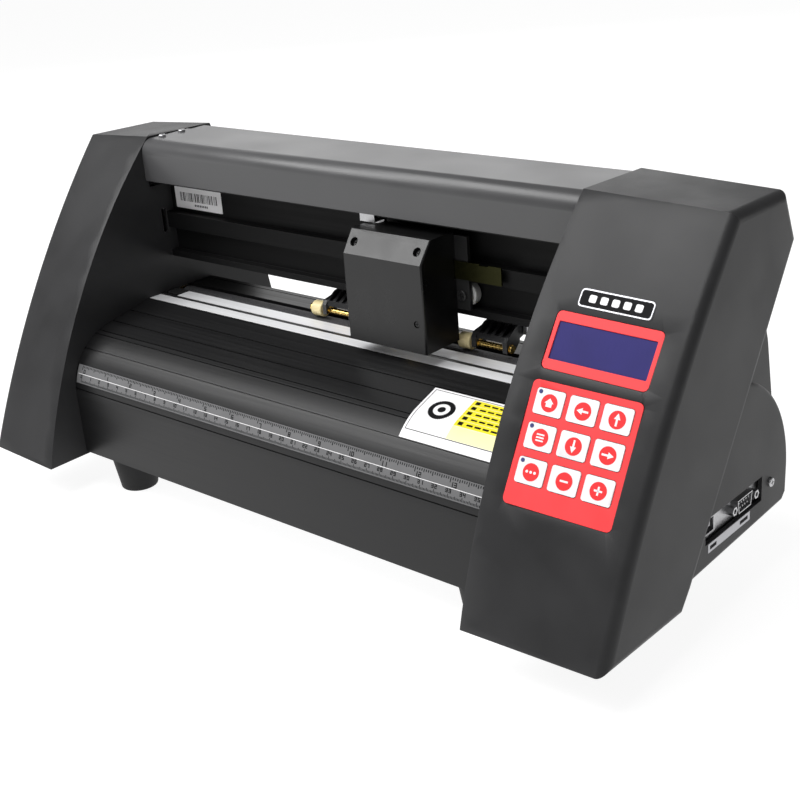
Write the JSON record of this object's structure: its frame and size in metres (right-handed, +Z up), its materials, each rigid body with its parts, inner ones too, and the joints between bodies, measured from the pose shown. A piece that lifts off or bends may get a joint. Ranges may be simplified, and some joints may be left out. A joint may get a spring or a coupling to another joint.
{
  "type": "vinyl cutter",
  "caption": "Desktop roll-fed vinyl cutter: curved bed, feed roller with pinch rollers, and a belt-driven knife carriage on a rail between two end covers.",
  "frame": {"origin": "centre of the machine's footprint, on the surface that the feet stand on", "axes": "+Z up, +X to the machine's right along the bed as the user faces it, -Y towards the user"},
  "size_m": [0.526, 0.236, 0.2372],
  "materials": {
    "cover_plastic": "fine moulded texture",
    "beam_paint": "satin, slightly rough powder coat",
    "bed_metal": "dark satin anodised",
    "strip_metal": "bright drawn finish",
    "rail_metal": "dark satin anodised",
    "black_plastic": "matte",
    "white_plastic": "satin moulded",
    "key_white": "satin moulded, red discs",
    "coral_panel": "semi-gloss printed film",
    "screen_glass": "gloss, dark blue",
    "steel": "satin zinc plated",
    "roller_steel": "blackened, grit coated",
    "urethane": "cream polyurethane, matte",
    "black_steel": "blackened, satin",
    "flag_brass": "dull, tarnished",
    "brass": "satin",
    "rubber": "matte",
    "motor_black": "satin",
    "board_green": "solder mask",
    "ruler_film": "printed film, graduations without lettering"
  },
  "bodies": {
    "chassis": {"right_cover": "cover_plastic", "left_cover": "cover_plastic", "side_frames": "steel", "base_plate": "steel", "bed_front": "bed_metal", "bed_rear": "bed_metal", "bed_strips": "strip_metal", "cutting_strip": "black_plastic", "ruler": "ruler_film", "guide_rail": "rail_metal", "top_beam": "beam_paint", "chassis_screws": "steel", "feet": "rubber", "keypad_panel": "coral_panel", "lcd_bezel": "coral_panel", "lcd_screen": "screen_glass", "circuit_boards": "board_green", "port_plate": "steel", "usb_socket": "steel", "serial_socket": "steel", "power_inlet": "black_plastic", "power_supply": "steel", "stepper_motors": "motor_black", "belt_brackets": "steel", "drive_belts": "rubber", "roller_bearings": "brass"},
    "carriage": {"carriage_cover": "cover_plastic", "carriage_plate": "black_steel", "carriage_screws": "black_steel", "belt_clamp": "strip_metal", "home_flag": "flag_brass", "lift_solenoid": "steel"},
    "tool_slide": {"tool_slide": "black_plastic", "blade_holder": "brass"},
    "clamp_screw": {"clamp_screw": "brass"},
    "blade": {"blade": "steel"},
    "guide_wheel_upper": {"guide_wheel_upper": "white_plastic"},
    "guide_wheel_lower_left": {"guide_wheel_lower_left": "white_plastic"},
    "guide_wheel_lower_right": {"guide_wheel_lower_right": "white_plastic"},
    "motor_pulley": {"motor_pulley": "steel"},
    "idler_pulley": {"idler_pulley": "steel"},
    "feed_roller": {"feed_roller": "roller_steel", "feed_roller_pulley": "steel"},
    "feed_motor_pulley": {"feed_motor_pulley": "steel"},
    "power_switch": {"power_switch": "black_plastic"},
    "pinch_bracket_left": {"pinch_bracket_left": "steel"},
    "pinch_arm_left": {"pinch_arm_left": "black_plastic"},
    "pinch_wheel_left": {"pinch_wheel_left": "urethane"},
    "pinch_bracket_right": {"pinch_bracket_right": "steel"},
    "pinch_arm_right": {"pinch_arm_right": "black_plastic"},
    "pinch_wheel_right": {"pinch_wheel_right": "urethane"},
    "key_home": {"key_home": "key_white"},
    "key_left": {"key_left": "key_white"},
    "key_up": {"key_up": "key_white"},
    "key_option": {"key_option": "key_white"},
    "key_down": {"key_down": "key_white"},
    "key_right": {"key_right": "key_white"},
    "key_setup": {"key_setup": "key_white"},
    "key_minus": {"key_minus": "key_white"},
    "key_plus": {"key_plus": "key_white"}
  },
  "joints": [
    {"name": "carriage_travel", "type": "slide", "parent": "chassis", "child": "carriage", "axis": [1, 0, 0], "range_m": [-0.203, 0.07]},
    {"name": "tool_down", "type": "slide", "parent": "carriage", "child": "tool_slide", "axis": [0, 0, 1], "range_m": [-0.0046, 0], "stiffness_N_per_m": 200, "springref_m": 0.005},
    {"name": "clamp_screw_turn", "type": "hinge", "parent": "tool_slide", "child": "clamp_screw", "pos_m": [0.0455, -0.0142, 0.166], "axis": [0, 1, 0], "range_deg": [0, 360]},
    {"name": "blade_swivel", "type": "hinge", "parent": "tool_slide", "child": "blade", "pos_m": [0.0455, 0.0009, 0.14], "axis": [0, 0, 1], "continuous": true},
    {"name": "guide_wheel_upper_spin", "type": "hinge", "parent": "carriage", "child": "guide_wheel_upper", "pos_m": [0.0455, 0.018, 0.1887], "axis": [0, 1, 0], "continuous": true},
    {"name": "guide_wheel_lower_left_spin", "type": "hinge", "parent": "carriage", "child": "guide_wheel_lower_left", "pos_m": [0.026, 0.018, 0.161], "axis": [0, 1, 0], "continuous": true},
    {"name": "guide_wheel_lower_right_spin", "type": "hinge", "parent": "carriage", "child": "guide_wheel_lower_right", "pos_m": [0.0813, 0.018, 0.161], "axis": [0, 1, 0], "continuous": true},
    {"name": "motor_pulley_spin", "type": "hinge", "parent": "chassis", "child": "motor_pulley", "pos_m": [0.205, 0.0125, 0.207], "axis": [0, 0, 1], "continuous": true},
    {"name": "idler_pulley_spin", "type": "hinge", "parent": "chassis", "child": "idler_pulley", "pos_m": [-0.212, 0.0125, 0.207], "axis": [0, 0, 1], "continuous": true},
    {"name": "feed_roller_spin", "type": "hinge", "parent": "chassis", "child": "feed_roller", "pos_m": [0, 0.022, 0.1136], "axis": [1, 0, 0], "continuous": true},
    {"name": "feed_motor_spin", "type": "hinge", "parent": "chassis", "child": "feed_motor_pulley", "pos_m": [0.186, 0.062, 0.088], "axis": [1, 0, 0], "continuous": true},
    {"name": "pinch_left_travel", "type": "slide", "parent": "chassis", "child": "pinch_bracket_left", "axis": [1, 0, 0], "range_m": [-0.12, 0.03]},
    {"name": "pinch_left_lift", "type": "hinge", "parent": "pinch_bracket_left", "child": "pinch_arm_left", "pos_m": [-0.051, 0.04, 0.139], "axis": [-1, 0, 0], "range_deg": [0, 13], "stiffness_Nm_per_rad": 0.5, "springref_deg": -17.19},
    {"name": "pinch_left_spin", "type": "hinge", "parent": "pinch_arm_left", "child": "pinch_wheel_left", "pos_m": [-0.051, 0.022, 0.1282], "axis": [1, 0, 0], "continuous": true},
    {"name": "pinch_right_travel", "type": "slide", "parent": "chassis", "child": "pinch_bracket_right", "axis": [1, 0, 0], "range_m": [-0.045, 0.05]},
    {"name": "pinch_right_lift", "type": "hinge", "parent": "pinch_bracket_right", "child": "pinch_arm_right", "pos_m": [0.076, 0.04, 0.139], "axis": [-1, 0, 0], "range_deg": [0, 13], "stiffness_Nm_per_rad": 0.5, "springref_deg": -17.19},
    {"name": "pinch_right_spin", "type": "hinge", "parent": "pinch_arm_right", "child": "pinch_wheel_right", "pos_m": [0.076, 0.022, 0.1282], "axis": [1, 0, 0], "continuous": true},
    {"name": "key_home_press", "type": "slide", "parent": "chassis", "child": "key_home", "axis": [-0.0938, 0.8654, -0.4922], "range_m": [0, 0.0006], "stiffness_N_per_m": 400, "springref_m": -0.0005},
    {"name": "key_left_press", "type": "slide", "parent": "chassis", "child": "key_left", "axis": [-0.0938, 0.8654, -0.4922], "range_m": [0, 0.0006], "stiffness_N_per_m": 400, "springref_m": -0.0005},
    {"name": "key_up_press", "type": "slide", "parent": "chassis", "child": "key_up", "axis": [-0.0938, 0.8654, -0.4922], "range_m": [0, 0.0006], "stiffness_N_per_m": 400, "springref_m": -0.0005},
    {"name": "key_option_press", "type": "slide", "parent": "chassis", "child": "key_option", "axis": [-0.0938, 0.8654, -0.4922], "range_m": [0, 0.0006], "stiffness_N_per_m": 400, "springref_m": -0.0005},
    {"name": "key_down_press", "type": "slide", "parent": "chassis", "child": "key_down", "axis": [-0.0938, 0.8654, -0.4922], "range_m": [0, 0.0006], "stiffness_N_per_m": 400, "springref_m": -0.0005},
    {"name": "key_right_press", "type": "slide", "parent": "chassis", "child": "key_right", "axis": [-0.0938, 0.8654, -0.4922], "range_m": [0, 0.0006], "stiffness_N_per_m": 400, "springref_m": -0.0005},
    {"name": "key_setup_press", "type": "slide", "parent": "chassis", "child": "key_setup", "axis": [-0.0938, 0.8654, -0.4922], "range_m": [0, 0.0006], "stiffness_N_per_m": 400, "springref_m": -0.0005},
    {"name": "key_minus_press", "type": "slide", "parent": "chassis", "child": "key_minus", "axis": [-0.0938, 0.8654, -0.4922], "range_m": [0, 0.0006], "stiffness_N_per_m": 400, "springref_m": -0.0005},
    {"name": "key_plus_press", "type": "slide", "parent": "chassis", "child": "key_plus", "axis": [-0.0938, 0.8654, -0.4922], "range_m": [0, 0.0006], "stiffness_N_per_m": 400, "springref_m": -0.0005},
    {"name": "power_switch_rock", "type": "hinge", "parent": "chassis", "child": "power_switch", "pos_m": [-0.2573, 0.048, 0.067], "axis": [0, -1, 0], "range_deg": [0, 10.4]}
  ],
  "couplings": [
    {"joint": "guide_wheel_upper_spin", "follows": "carriage_travel", "rad_per_m": 121.95},
    {"joint": "guide_wheel_lower_left_spin", "follows": "carriage_travel", "rad_per_m": -121.95},
    {"joint": "guide_wheel_lower_right_spin", "follows": "carriage_travel", "rad_per_m": -121.95},
    {"joint": "motor_pulley_spin", "follows": "carriage_travel", "rad_per_m": 156.25},
    {"joint": "idler_pulley_spin", "follows": "carriage_travel", "rad_per_m": 156.25},
    {"joint": "feed_motor_spin", "follows": "feed_roller_spin", "ratio": 2.7027}
  ]
}
